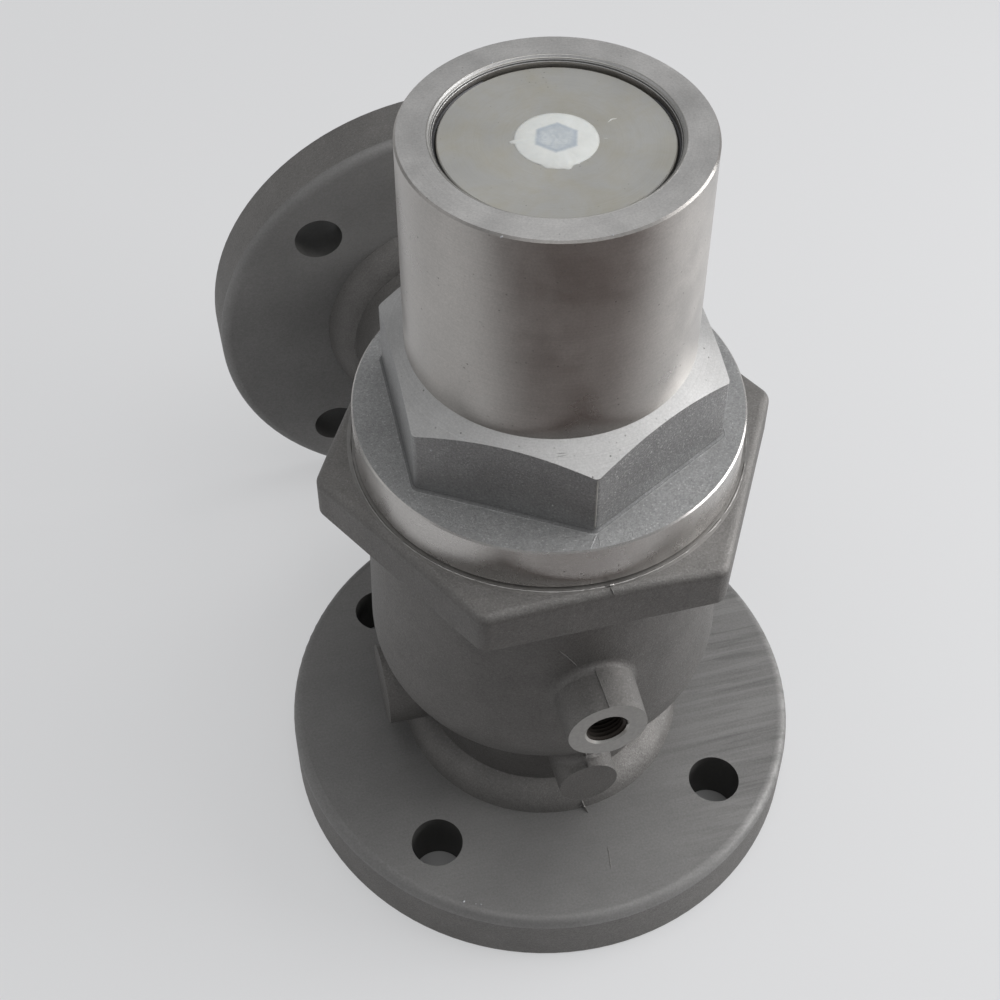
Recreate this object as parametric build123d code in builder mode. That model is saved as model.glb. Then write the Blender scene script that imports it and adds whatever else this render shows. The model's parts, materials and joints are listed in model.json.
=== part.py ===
from build123d import *
import os
from math import acos, cos, degrees, hypot, radians, sin, sqrt, tan

# A right-angle minimum pressure valve for a 65 mm line, in millimetres.
# The inlet flange stands on z = 0, the valve axis is Z, the tapped port looks along -Y and the
# outlet flange along +Y.

# Flanges
bore_radius = 32.5
flange_radius = 92.5
flange_thickness = 23.0
flange_edge_round = 3.5
face_chamfer = 1.0
bolt_circle_radius = 72.5
bolt_hole_radius = 9.0
bolt_count = 4
flare_radius = 50.7
flare_height = 9.0
flare_hollow = 1.4
neck_radius = 42.0

# Chamber of the body casting
chamber_radius = 59.8
chamber_top_radius = 58.2
chamber_wall = 8.0
dome_z = 84.2
dome_depth = 39.8
dome_round = 6.0
outlet_z = 97.0
outlet_reach = 155.0
outlet_root_round = 6.0

# Hexagonal collar at the top of the body
seat_face_z = 170.3
land_margin = 2.3
collar_margin = 1.6
collar_height = 16.3
collar_corner_round = 5.0
collar_slope = 8.0
collar_edge_round = 3.0

# Bosses of the body casting
port_height = 111.5
port_reach = 74.2
port_boss_radius = 12.6
port_thread_radius = 6.58
port_thread_depth = 15.0
port_drill_radius = 5.0
port_chamfer = 0.7
front_blank_height = 56.5
front_blank_reach = 60.0
front_blank_radius = 9.8
side_blank_height = 50.5
side_blank_reach = 59.0
side_blank_radius = 14.0
boss_draft = 2.0
boss_root_round = 3.0
mould_shift = 0.5

# Seat at the top of the inlet bore
seat_z = 67.0
seat_lip = 5.0

# Bonnet
bonnet_radius = 43.75
cylinder_height = 74.1
bonnet_edge_chamfer = 0.6
hex_across_flats = 95.0
hex_height = 29.4
hex_turn = 28.5
hex_corner_round = 2.2
hex_slope = 30.0
hex_root_round = 1.2
ring_margin = 6.25
ring_thickness = 16.7
ring_top_chamfer = 0.5
ring_bottom_chamfer = 0.8
skirt_radius = 53.0
skirt_length = 22.3
skirt_chamfer = 1.5
thread_clearance = 0.1
guide_bore_radius = 38.0
bore_shoulder_drop = 1.1
spring_bore_radius = 33.5
mouth_chamfer = 1.25
mouth_chamfer_depth = 1.65

# Seal between bonnet and body
o_ring_radius = 1.7
o_ring_groove_width = 4.0
o_ring_groove_depth = 3.5

# Spring cover and its snap ring
cover_recess = 2.6
cover_top_radius = 32.35
cover_step_depth = 2.9
cover_thickness = 17.0
cover_clearance = 0.1
cover_edge_chamfer = 0.3
snap_wire_radius = 1.1
snap_groove_clearance = 0.1
snap_opening = 93.0
snap_opening_middle = 66.0

# Adjusting screw and the seal over it
screw_thread_radius = 11.0
screw_length = 14.5
screw_nose_radius = 6.0
screw_nose_length = 4.5
screw_socket_across_flats = 10.0
screw_socket_depth = 8.0
screw_clearance = 0.08
plug_radius = 11.3
plug_depth = 3.4
plug_proud = 0.15
plug_clearance = 0.05

# Main spring and its upper plate
spring_radius = 25.0
spring_wire_radius = 3.5
spring_turns = 7.0
spring_wire_sides = 6
spring_side_clearance = 0.7
ground_clearance = 0.02
plate_radius = 30.0
plate_thickness = 6.0
plate_spigot_length = 6.0
plate_dimple_depth = 3.0
plate_dimple_clearance = 0.3

# Piston
lift = 18.0
lift_margin = 0.3
piston_running_clearance = 0.3
ring_running_clearance = 0.05
piston_head_radius = 40.0
piston_head_thickness = 12.0
piston_neck_radius = 34.0
piston_floor_thickness = 8.0
piston_bore_radius = 30.0
piston_guide_overhang = 2.0
piston_rim_chamfer = 0.8
hub_height = 8.0
pocket_radius = 17.5
pocket_depth = 14.0
guide_ring_height = 8.0
guide_ring_thickness = 2.2
seal_height = 5.0
seal_thickness = 3.0
groove_margin = 5.0
groove_clearance = 0.05

# Check disc and its seat seal
check_radius = 40.0
check_thickness = 11.0
check_rim_gap = 0.8
stem_radius = 8.0
stem_clearance = 0.05
stem_spare = 5.0
stem_chamfer = 1.0
bush_radius = 11.0
seal_outer_radius = 38.5
seal_inner_radius = 24.0
seat_seal_thickness = 4.0
seal_plate_radius = 28.5
seal_plate_thickness = 3.0
seal_bolt_radius = 5.0
seal_bolt_length = 22.0
seal_bolt_across_flats = 16.0
seal_bolt_head = 6.4
bolt_tip_clearance = 1.0
lock_washer_thickness = 2.2
lock_washer_radius = 9.0
lock_washer_gap = 2.0
check_spring_radius = 13.5
check_spring_wire = 0.8
check_spring_turns = 3.0
check_spring_sides = 4
clip_radius = 13.0
clip_thickness = 1.5
clip_groove_depth = 1.0
clip_opening = 7.0
clip_spare = 1.5

# Radii and heights that follow from the sizes above
hex_corner_radius = hex_across_flats / sqrt(3)
ring_radius = hex_corner_radius + ring_margin
land_radius = ring_radius + land_margin
collar_half_width = land_radius + collar_margin
collar_bottom_z = seat_face_z - collar_height
skirt_bottom_z = seat_face_z - skirt_length
ring_top_z = seat_face_z + ring_thickness
bonnet_shoulder_z = ring_top_z + hex_height
bore_shoulder_z = bonnet_shoulder_z - bore_shoulder_drop
bonnet_top_z = bonnet_shoulder_z + cylinder_height
cover_top_z = bonnet_top_z - cover_recess
check_top_z = seat_z + check_thickness
piston_floor_z = check_top_z + pocket_depth + piston_floor_thickness
hub_top_z = piston_floor_z + hub_height
piston_top_z = bore_shoulder_z - lift - lift_margin
piston_guide_bottom_z = skirt_bottom_z - piston_guide_overhang
cover_bottom_z = cover_top_z - cover_thickness
cover_step_z = cover_top_z - cover_step_depth
plug_bottom_z = cover_top_z - plug_depth
screw_top_z = plug_bottom_z
screw_tip_z = screw_top_z - screw_length - screw_nose_length
plate_top_z = screw_tip_z + plate_dimple_depth
plate_bottom_z = plate_top_z - plate_thickness
clip_z = hub_top_z + lift + clip_spare
stem_top_z = clip_z + clip_thickness + stem_spare
bolt_angle = 360 / bolt_count

os.makedirs("parts", exist_ok=True)


def save(piece, name):
    """Label a finished piece and write it to its own file."""
    piece.label = name
    export_step(piece, "parts/" + name + ".step")


def is_root(edge, plane, height, radius):
    """Tell the edge round the root of a boss from its height and radius in the plane it springs from."""
    spot = plane.to_local_coords(edge.center())
    freeform = edge.geom_type not in (GeomType.CIRCLE, GeomType.LINE)
    return freeform and hypot(spot.X, spot.Y + height) < 1.5 * radius


# Valve body
outlet_face = Plane(origin=(0, outlet_reach, outlet_z), x_dir=(1, 0, 0), z_dir=(0, -1, 0))
outlet_axis = Axis((0, 0, outlet_z), (0, 1, 0))
chamber_inner = chamber_radius - chamber_wall
chamber_inner_top = chamber_top_radius - chamber_wall
collar_reach = 2 * collar_half_width
collar_crown_z = seat_face_z + land_radius * tan(radians(collar_slope))
nozzle_radius = bore_radius + seat_lip
thread_bottom_z = skirt_bottom_z - 1
groove_radius = skirt_radius + o_ring_groove_width

with BuildPart() as valve_body:
    # Hexagonal collar, its top sloping down all round and faced flat for the bonnet
    with BuildSketch(Plane.XY.offset(collar_bottom_z)):
        RegularPolygon(collar_half_width, 6, major_radius=False)
        fillet(vertices(), collar_corner_round)
    extrude(amount=collar_crown_z - collar_bottom_z)
    with BuildSketch(Plane.XZ):
        with BuildLine():
            Polyline(
                (0, collar_bottom_z),
                (0, collar_crown_z),
                (collar_reach, collar_crown_z - collar_reach * tan(radians(collar_slope))),
                (collar_reach, collar_bottom_z),
                (0, collar_bottom_z),
            )
        make_face()
    revolve(axis=Axis.Z, mode=Mode.INTERSECT)
    collar_rim = edges().filter_by(
        lambda e: e.center().Z > collar_bottom_z + collar_edge_round and abs(e.tangent_at(0.5).Z) < 0.7
    )
    fillet(collar_rim, collar_edge_round)
    with BuildSketch(Plane.XY.offset(seat_face_z)):
        Circle(collar_reach)
    extrude(amount=collar_crown_z - seat_face_z, mode=Mode.SUBTRACT)
    # Chamber with its elliptical floor, and the neck below it
    low_turn = degrees(acos(neck_radius / chamber_radius))
    with BuildSketch(Plane.XZ):
        with BuildLine():
            floor = EllipticalCenterArc(
                (0, dome_z), chamber_radius, dome_depth, start_angle=-low_turn, arc_size=low_turn
            )
            Polyline(
                floor @ 1,
                (chamber_top_radius, collar_bottom_z + 1),
                (0, collar_bottom_z + 1),
                (0, flange_thickness / 2),
                (neck_radius, flange_thickness / 2),
                floor @ 0,
            )
        make_face()
        fillet(vertices().sort_by(lambda v: (Vector(v) - (floor @ 0)).length)[0], dome_round)
    revolve(axis=Axis.Z)
    # Tapped port boss and two blank ones, with the half beyond the mould joint a little proud
    front = Plane(origin=(0, 0, 0), x_dir=(1, 0, 0), z_dir=(0, 1, 0))
    side = Plane(origin=(0, 0, 0), x_dir=(0, -1, 0), z_dir=(1, 0, 0))
    for plane, radius, reach, height in (
        (front, port_boss_radius, port_reach, port_height),
        (front, front_blank_radius, front_blank_reach, front_blank_height),
        (side, side_blank_radius, side_blank_reach, side_blank_height),
    ):
        with BuildSketch(plane.offset(-reach)):
            with Locations((0, -height)):
                Circle(radius)
        extrude(amount=reach, taper=-boss_draft)
        fillet(edges().filter_by(lambda e: is_root(e, plane, height, radius)), boss_root_round)
        with BuildSketch(plane.offset(-reach)):
            with Locations((0, -height)):
                Circle(radius + mould_shift)
                Rectangle(2 * radius, 4 * radius, align=(Align.MAX, Align.CENTER), mode=Mode.SUBTRACT)
        extrude(amount=reach, taper=-boss_draft)
    # Outlet neck
    with BuildSketch(outlet_face):
        Circle(neck_radius)
    extrude(amount=outlet_reach)
    fillet(edges(Select.NEW), outlet_root_round)
    # Flanges with a chamfered face, a rounded back and a flared root
    for plane, axis, face, way in (
        (Plane.XZ, Axis.Z, 0, 1),
        (Plane.XY.offset(outlet_z), outlet_axis, outlet_reach, -1),
    ):
        back = face + way * flange_thickness
        with BuildSketch(plane):
            with BuildLine():
                foot = (flare_radius, back)
                shoulder = (neck_radius, back + way * flare_height)
                SagittaArc(foot, shoulder, flare_hollow * -way)
                Polyline(
                    shoulder,
                    (0, back + way * flare_height),
                    (0, face),
                    (flange_radius - face_chamfer, face),
                    (flange_radius, face + way * face_chamfer),
                    (flange_radius, back),
                    foot,
                )
            make_face()
            rim_vertices = vertices().group_by(Axis.X)[-1].sort_by(Axis.Y)
            fillet(rim_vertices[-1] if way > 0 else rim_vertices[0], flange_edge_round)
        revolve(axis=axis)
    # Bolt holes of both flanges, straddling the valve's plane of symmetry
    for face in (Plane.XY, outlet_face):
        with BuildSketch(face):
            with PolarLocations(bolt_circle_radius, bolt_count, start_angle=bolt_angle / 2):
                Circle(bolt_hole_radius)
        extrude(amount=flange_thickness, mode=Mode.SUBTRACT)
    # Inlet bore up to the seat
    with BuildSketch(Plane.XY):
        Circle(bore_radius)
    extrude(amount=seat_z, mode=Mode.SUBTRACT)
    # Chamber round the seat nozzle, open at the top for the bonnet's skirt and O-ring
    inner_turn = degrees(acos(nozzle_radius / chamber_inner))
    with BuildSketch(Plane.XZ):
        with BuildLine():
            inner_floor = EllipticalCenterArc(
                (0, dome_z),
                chamber_inner,
                dome_depth - chamber_wall,
                start_angle=-inner_turn,
                arc_size=inner_turn,
            )
            Polyline(
                inner_floor @ 1,
                (chamber_inner_top, thread_bottom_z),
                (skirt_radius, thread_bottom_z),
                (skirt_radius, seat_face_z - o_ring_groove_depth),
                (groove_radius, seat_face_z - o_ring_groove_depth),
                (groove_radius, seat_face_z),
                (0, seat_face_z),
                (0, seat_z),
                (nozzle_radius, seat_z),
                inner_floor @ 0,
            )
        make_face()
    revolve(axis=Axis.Z, mode=Mode.SUBTRACT)
    # Outlet bore, starting clear of the seat nozzle
    with BuildSketch(outlet_face):
        Circle(bore_radius)
    extrude(amount=outlet_reach - nozzle_radius - seat_lip, mode=Mode.SUBTRACT)
    # Tapped port, drilled through to the chamber
    with BuildSketch(Plane(origin=(0, -port_reach, port_height))):
        with BuildLine():
            Polyline(
                (0, 0),
                (port_thread_radius + port_chamfer, 0),
                (port_thread_radius, port_chamfer),
                (port_thread_radius, port_thread_depth),
                (port_drill_radius, port_thread_depth),
                (port_drill_radius, port_reach - chamber_inner + chamber_wall),
                (0, port_reach - chamber_inner + chamber_wall),
                (0, 0),
            )
        make_face()
    revolve(axis=Axis((0, 0, port_height), (0, 1, 0)), mode=Mode.SUBTRACT)

save(valve_body.part, "valve_body")

# Bonnet
hex_reach = hex_corner_radius + 1
hex_drop = (hex_reach - bonnet_radius) * tan(radians(hex_slope))
snap_z = cover_step_z + snap_wire_radius

with BuildPart() as bonnet:
    # Cast hexagon, its top turned to a cone
    with BuildSketch(Plane.XY.offset(ring_top_z)):
        RegularPolygon(hex_across_flats / 2, 6, major_radius=False, rotation=hex_turn)
        fillet(vertices(), hex_corner_round)
    extrude(amount=bonnet_shoulder_z - ring_top_z)
    with BuildSketch(Plane.XZ):
        with BuildLine():
            Polyline(
                (0, ring_top_z),
                (hex_reach, ring_top_z),
                (hex_reach, bonnet_shoulder_z - hex_drop),
                (bonnet_radius, bonnet_shoulder_z),
                (0, bonnet_shoulder_z),
                (0, ring_top_z),
            )
        make_face()
    revolve(axis=Axis.Z, mode=Mode.INTERSECT)
    # Threaded skirt, sealing ring and cylinder
    with BuildSketch(Plane.XZ):
        with BuildLine():
            Polyline(
                (0, skirt_bottom_z),
                (skirt_radius - skirt_chamfer, skirt_bottom_z),
                (skirt_radius - thread_clearance, skirt_bottom_z + skirt_chamfer),
                (skirt_radius - thread_clearance, seat_face_z),
                (ring_radius - ring_bottom_chamfer, seat_face_z),
                (ring_radius, seat_face_z + ring_bottom_chamfer),
                (ring_radius, ring_top_z - ring_top_chamfer),
                (ring_radius - ring_top_chamfer, ring_top_z),
                (bonnet_radius, ring_top_z),
                (bonnet_radius, bonnet_top_z - bonnet_edge_chamfer),
                (bonnet_radius - bonnet_edge_chamfer, bonnet_top_z),
                (0, bonnet_top_z),
                (0, skirt_bottom_z),
            )
        make_face()
    revolve(axis=Axis.Z)
    hex_root = edges().filter_by(
        lambda e: abs(e.center().Z - ring_top_z) < 0.01 and e.length < hex_across_flats
    )
    fillet(hex_root, hex_root_round)
    # Guide bore for the piston, spring bore above it, and the mouth chamfer
    with BuildSketch(Plane.XZ):
        with BuildLine():
            Polyline(
                (0, skirt_bottom_z),
                (guide_bore_radius, skirt_bottom_z),
                (guide_bore_radius, bore_shoulder_z),
                (spring_bore_radius, bore_shoulder_z),
                (spring_bore_radius, bonnet_top_z - mouth_chamfer_depth),
                (spring_bore_radius + mouth_chamfer, bonnet_top_z),
                (0, bonnet_top_z),
                (0, skirt_bottom_z),
            )
        make_face()
    revolve(axis=Axis.Z, mode=Mode.SUBTRACT)
    # Groove of the snap ring
    with BuildSketch(Plane.XZ):
        with Locations((spring_bore_radius, snap_z)):
            Circle(snap_wire_radius + snap_groove_clearance)
    revolve(axis=Axis.Z, mode=Mode.SUBTRACT)

save(bonnet.part, "bonnet")

# O-ring between bonnet and body
with BuildPart() as bonnet_o_ring:
    with BuildSketch(Plane.XZ):
        with Locations((skirt_radius + o_ring_groove_width / 2, seat_face_z - o_ring_groove_depth / 2)):
            Circle(o_ring_radius)
    revolve(axis=Axis.Z)

save(bonnet_o_ring.part, "bonnet_o_ring")

# Spring cover, stepped for the snap ring and tapped for the adjusting screw
with BuildPart() as spring_cover:
    with BuildSketch(Plane.XZ):
        with BuildLine():
            Polyline(
                (0, cover_bottom_z),
                (spring_bore_radius - cover_clearance, cover_bottom_z),
                (spring_bore_radius - cover_clearance, cover_step_z),
                (cover_top_radius, cover_step_z),
                (cover_top_radius, cover_top_z - cover_edge_chamfer),
                (cover_top_radius - cover_edge_chamfer, cover_top_z),
                (0, cover_top_z),
                (0, cover_bottom_z),
            )
        make_face()
    revolve(axis=Axis.Z)
    with Locations((0, 0, cover_top_z)):
        CounterBoreHole(screw_thread_radius, plug_radius, plug_depth)

save(spring_cover.part, "spring_cover")

# Snap ring, open towards the back
snap_start = snap_opening_middle + snap_opening / 2
with BuildPart() as retaining_ring:
    start_way = Vector(cos(radians(snap_start)), sin(radians(snap_start)), 0)
    with BuildSketch(Plane(origin=(0, 0, 0), x_dir=start_way, z_dir=start_way.cross(Vector(0, 0, 1)))):
        with Locations((spring_bore_radius, snap_z)):
            Circle(snap_wire_radius)
    revolve(axis=Axis.Z, revolution_arc=360 - snap_opening)

save(retaining_ring.part, "retaining_ring")

# Adjusting screw with a hexagon socket and a plain nose
with BuildPart() as adjusting_screw:
    with BuildSketch(Plane.XY.offset(screw_top_z)):
        Circle(screw_thread_radius - screw_clearance)
    extrude(amount=-screw_length)
    with BuildSketch(Plane.XY.offset(screw_top_z - screw_length)):
        Circle(screw_nose_radius)
    extrude(amount=-screw_nose_length)
    with BuildSketch(Plane.XY.offset(screw_top_z)):
        RegularPolygon(screw_socket_across_flats / 2, 6, major_radius=False, rotation=30)
    extrude(amount=-screw_socket_depth, mode=Mode.SUBTRACT)

save(adjusting_screw.part, "adjusting_screw")

# Tamper seal over the adjusting screw
with BuildPart() as sealing_plug:
    with BuildSketch(Plane.XY.offset(plug_bottom_z)):
        Circle(plug_radius - plug_clearance)
    extrude(amount=plug_depth + plug_proud)

save(sealing_plug.part, "sealing_plug")

# Upper spring plate
spigot_radius = spring_radius - spring_wire_radius - spring_side_clearance
with BuildPart() as spring_plate:
    with BuildSketch(Plane.XY.offset(plate_bottom_z)):
        Circle(plate_radius)
    extrude(amount=plate_thickness)
    with BuildSketch(Plane.XY.offset(plate_bottom_z)):
        Circle(spigot_radius)
    extrude(amount=-plate_spigot_length)
    with BuildSketch(Plane.XY.offset(plate_top_z)):
        Circle(screw_nose_radius + plate_dimple_clearance)
    extrude(amount=-plate_dimple_depth, mode=Mode.SUBTRACT)

save(spring_plate.part, "spring_plate")


def coil(mean_radius, wire_radius, sides, turns, low_z, high_z):
    """Compression spring between two plates, with its ends ground flat."""
    pitch = (high_z - low_z) / turns
    start_z = low_z - wire_radius
    with BuildPart() as spring:
        with BuildLine():
            path = Helix(pitch, high_z - low_z + 2 * wire_radius, mean_radius, center=(0, 0, start_z))
        with BuildSketch(Plane(origin=path @ 0, x_dir=(1, 0, 0), z_dir=path % 0)):
            RegularPolygon(wire_radius, sides)
        sweep(path=path, is_frenet=True)
        split(bisect_by=Plane.XY.offset(low_z + ground_clearance), keep=Keep.TOP)
        split(bisect_by=Plane.XY.offset(high_z - ground_clearance), keep=Keep.BOTTOM)
    return spring.part


# Main spring
save(
    coil(spring_radius, spring_wire_radius, spring_wire_sides, spring_turns, piston_floor_z, plate_bottom_z),
    "main_spring",
)

# Piston
piston_guide_radius = guide_bore_radius - piston_running_clearance
ring_outer_radius = guide_bore_radius - ring_running_clearance
head_top_z = check_top_z + piston_head_thickness
upper_ring_z = piston_top_z - groove_margin - guide_ring_height
lower_ring_z = piston_guide_bottom_z + groove_margin
piston_seal_z = (upper_ring_z + lower_ring_z + guide_ring_height - seal_height) / 2

with BuildPart() as piston:
    with BuildSketch(Plane.XZ):
        with BuildLine():
            Polyline(
                (0, check_top_z),
                (piston_head_radius, check_top_z),
                (piston_head_radius, head_top_z),
                (piston_neck_radius, head_top_z + piston_head_radius - piston_neck_radius),
                (piston_neck_radius, piston_guide_bottom_z - piston_guide_radius + piston_neck_radius),
                (piston_guide_radius, piston_guide_bottom_z),
                (piston_guide_radius, piston_top_z - piston_rim_chamfer),
                (piston_guide_radius - piston_rim_chamfer, piston_top_z),
                (0, piston_top_z),
                (0, check_top_z),
            )
        make_face()
    revolve(axis=Axis.Z)
    # Spring bore round the hub
    with BuildSketch(Plane.XY.offset(piston_floor_z)):
        Circle(piston_bore_radius)
    extrude(amount=piston_top_z - piston_floor_z, mode=Mode.SUBTRACT)
    with BuildSketch(Plane.XY.offset(piston_floor_z)):
        Circle(spigot_radius)
    extrude(amount=hub_height)
    # Pocket for the check spring and bore for the stem bush
    with BuildSketch(Plane.XY.offset(check_top_z)):
        Circle(pocket_radius)
    extrude(amount=pocket_depth, mode=Mode.SUBTRACT)
    with BuildSketch(Plane.XY.offset(check_top_z + pocket_depth)):
        Circle(bush_radius)
    extrude(amount=hub_top_z - check_top_z - pocket_depth, mode=Mode.SUBTRACT)
    # Ring grooves
    for low_z, height, thickness in (
        (upper_ring_z, guide_ring_height, guide_ring_thickness),
        (piston_seal_z, seal_height, seal_thickness),
        (lower_ring_z, guide_ring_height, guide_ring_thickness),
    ):
        with BuildSketch(Plane.XY.offset(low_z)):
            Circle(guide_bore_radius)
            Circle(ring_outer_radius - thickness - groove_clearance, mode=Mode.SUBTRACT)
        extrude(amount=height, mode=Mode.SUBTRACT)

save(piston.part, "piston")

# Piston guide rings
for low_z, name in ((upper_ring_z, "upper_guide_ring"), (lower_ring_z, "lower_guide_ring")):
    with BuildPart() as guide_ring:
        with BuildSketch(Plane.XY.offset(low_z + groove_clearance)):
            Circle(ring_outer_radius)
            Circle(ring_outer_radius - guide_ring_thickness, mode=Mode.SUBTRACT)
        extrude(amount=guide_ring_height - 2 * groove_clearance)
    save(guide_ring.part, name)

# Lip seal of the piston, open towards the pressure below
with BuildPart() as piston_seal:
    seal_low_z = piston_seal_z + groove_clearance
    seal_high_z = piston_seal_z + seal_height - groove_clearance
    with BuildSketch(Plane.XZ):
        with BuildLine():
            Polyline(
                (ring_outer_radius - seal_thickness, seal_low_z),
                (ring_outer_radius - seal_thickness, seal_high_z),
                (ring_outer_radius, seal_high_z),
                (ring_outer_radius, seal_low_z),
                (ring_outer_radius - seal_thickness / 4, seal_low_z),
                (ring_outer_radius - seal_thickness / 2, (seal_low_z + seal_high_z) / 2),
                (ring_outer_radius - seal_thickness * 3 / 4, seal_low_z),
                (ring_outer_radius - seal_thickness, seal_low_z),
            )
        make_face()
    revolve(axis=Axis.Z)

save(piston_seal.part, "piston_seal")

# Bush for the stem, pressed into the piston's hub
with BuildPart() as stem_bush:
    with BuildSketch(Plane.XY.offset(check_top_z + pocket_depth)):
        Circle(bush_radius - groove_clearance)
        Circle(stem_radius + stem_clearance, mode=Mode.SUBTRACT)
    extrude(amount=hub_top_z - check_top_z - pocket_depth)

save(stem_bush.part, "stem_bush")

# Check disc with its stem
seal_top_z = seat_z + seat_seal_thickness
plate_low_z = seat_z - seal_plate_thickness
washer_low_z = plate_low_z - lock_washer_thickness
bolt_tip_z = washer_low_z + seal_bolt_length

with BuildPart() as check_disc:
    with BuildSketch(Plane.XZ):
        with BuildLine():
            Polyline(
                (0, seat_z),
                (seal_inner_radius - groove_clearance, seat_z),
                (seal_inner_radius - groove_clearance, seal_top_z),
                (seal_outer_radius + groove_clearance, seal_top_z),
                (seal_outer_radius + groove_clearance, seat_z + check_rim_gap),
                (check_radius, seat_z + check_rim_gap),
                (check_radius, check_top_z),
                (stem_radius, check_top_z),
                (stem_radius, clip_z),
                (stem_radius - clip_groove_depth, clip_z),
                (stem_radius - clip_groove_depth, clip_z + clip_thickness + 2 * groove_clearance),
                (stem_radius, clip_z + clip_thickness + 2 * groove_clearance),
                (stem_radius, stem_top_z - stem_chamfer),
                (stem_radius - stem_chamfer, stem_top_z),
                (0, stem_top_z),
                (0, seat_z),
            )
        make_face()
    revolve(axis=Axis.Z)
    with BuildSketch(Plane.XY.offset(seat_z)):
        Circle(seal_bolt_radius)
    extrude(amount=bolt_tip_z - seat_z + bolt_tip_clearance, mode=Mode.SUBTRACT)

save(check_disc.part, "check_disc")

# Soft seat seal and the plate that clamps it
for low_z, inner, outer, height, name in (
    (seat_z, seal_inner_radius, seal_outer_radius, seat_seal_thickness, "seat_seal"),
    (plate_low_z, seal_bolt_radius, seal_plate_radius, seal_plate_thickness, "seal_plate"),
):
    with BuildPart() as washer:
        with BuildSketch(Plane.XY.offset(low_z)):
            Circle(outer)
            Circle(inner, mode=Mode.SUBTRACT)
        extrude(amount=height)
    save(washer.part, name)

# Split lock washer
with BuildPart() as lock_washer:
    with BuildSketch(Plane.XY.offset(washer_low_z)):
        Circle(lock_washer_radius)
        Circle(seal_bolt_radius, mode=Mode.SUBTRACT)
        with Locations((lock_washer_radius / 2, 0)):
            Rectangle(2 * lock_washer_radius, lock_washer_gap, align=(Align.MIN, Align.CENTER), mode=Mode.SUBTRACT)
    extrude(amount=lock_washer_thickness)

save(lock_washer.part, "lock_washer")

# Bolt of the seal plate
with BuildPart() as seal_bolt:
    with BuildSketch(Plane.XY.offset(washer_low_z)):
        RegularPolygon(seal_bolt_across_flats / 2, 6, major_radius=False)
    extrude(amount=-seal_bolt_head)
    with BuildSketch(Plane.XY.offset(washer_low_z)):
        Circle(seal_bolt_radius - groove_clearance)
    extrude(amount=seal_bolt_length)

save(seal_bolt.part, "seal_bolt")

# Clip on the stem, which keeps the check disc in the piston
with BuildPart() as stem_circlip:
    with BuildSketch(Plane.XY.offset(clip_z + groove_clearance)):
        Circle(clip_radius)
        Circle(stem_radius - clip_groove_depth + groove_clearance, mode=Mode.SUBTRACT)
        Rectangle(2 * clip_radius, clip_opening, align=(Align.MIN, Align.CENTER), mode=Mode.SUBTRACT)
    extrude(amount=clip_thickness)

save(stem_circlip.part, "stem_circlip")

# Light spring that closes the check disc
save(
    coil(
        check_spring_radius,
        check_spring_wire,
        check_spring_sides,
        check_spring_turns,
        check_top_z,
        check_top_z + pocket_depth,
    ),
    "check_spring",
)
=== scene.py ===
import json
import random
from math import cos, hypot, pi, radians, sin, tan, tau

import bmesh
import bpy
from mathutils import Matrix, Vector, noise
from mathutils.bvhtree import BVHTree


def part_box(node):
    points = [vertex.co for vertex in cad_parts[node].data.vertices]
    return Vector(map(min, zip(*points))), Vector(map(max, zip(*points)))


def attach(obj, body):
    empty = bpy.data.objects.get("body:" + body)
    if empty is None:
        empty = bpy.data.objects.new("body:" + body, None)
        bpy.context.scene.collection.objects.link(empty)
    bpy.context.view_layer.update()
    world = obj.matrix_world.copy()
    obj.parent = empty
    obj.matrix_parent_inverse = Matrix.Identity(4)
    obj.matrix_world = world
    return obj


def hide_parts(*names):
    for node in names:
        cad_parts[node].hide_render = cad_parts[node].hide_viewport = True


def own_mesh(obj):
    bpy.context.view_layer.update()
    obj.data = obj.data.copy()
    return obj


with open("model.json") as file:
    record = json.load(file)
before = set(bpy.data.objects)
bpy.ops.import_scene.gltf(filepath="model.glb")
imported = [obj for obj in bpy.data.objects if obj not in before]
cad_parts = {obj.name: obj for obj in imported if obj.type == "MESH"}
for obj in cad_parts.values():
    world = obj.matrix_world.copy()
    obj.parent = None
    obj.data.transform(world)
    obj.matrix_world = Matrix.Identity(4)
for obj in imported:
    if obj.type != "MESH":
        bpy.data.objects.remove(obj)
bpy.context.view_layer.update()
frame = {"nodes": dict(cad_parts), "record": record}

MM = 0.001
nodes = frame["nodes"]
mounts = {mount["name"]: mount for mount in frame["record"]["mounts"]}

# Sizes of the part's source that neither the solids' boxes nor the mounts give
skirt_length = 22.3 * MM
ring_thickness = 16.7 * MM
hex_height = 29.4 * MM
hex_slope = radians(30)
bonnet_radius = 43.75 * MM
cover_recess = 2.6 * MM
flange_top_z = 23 * MM
flange_edge_round = 3.5 * MM
flare_radius = 50.7 * MM
inlet_seat_z = 67 * MM
plug_proud = 0.15 * MM
main_coil = {"mean_radius": 25 * MM, "wire": 3.5 * MM, "turns": 7}
check_coil = {"mean_radius": 13.5 * MM, "wire": 0.8 * MM, "turns": 3}

# Heights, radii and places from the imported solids
_, body_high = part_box("valve_body")
bonnet_low, bonnet_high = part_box("bonnet")
flange_radius = body_high.x
outlet_y = body_high.y
outlet_back_y = outlet_y - flange_top_z
seat_z = bonnet_low.z + skirt_length
ring_radius = bonnet_high.x
ring_top_z = seat_z + ring_thickness
shoulder_z = ring_top_z + hex_height
bonnet_top_z = bonnet_high.z

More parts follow.
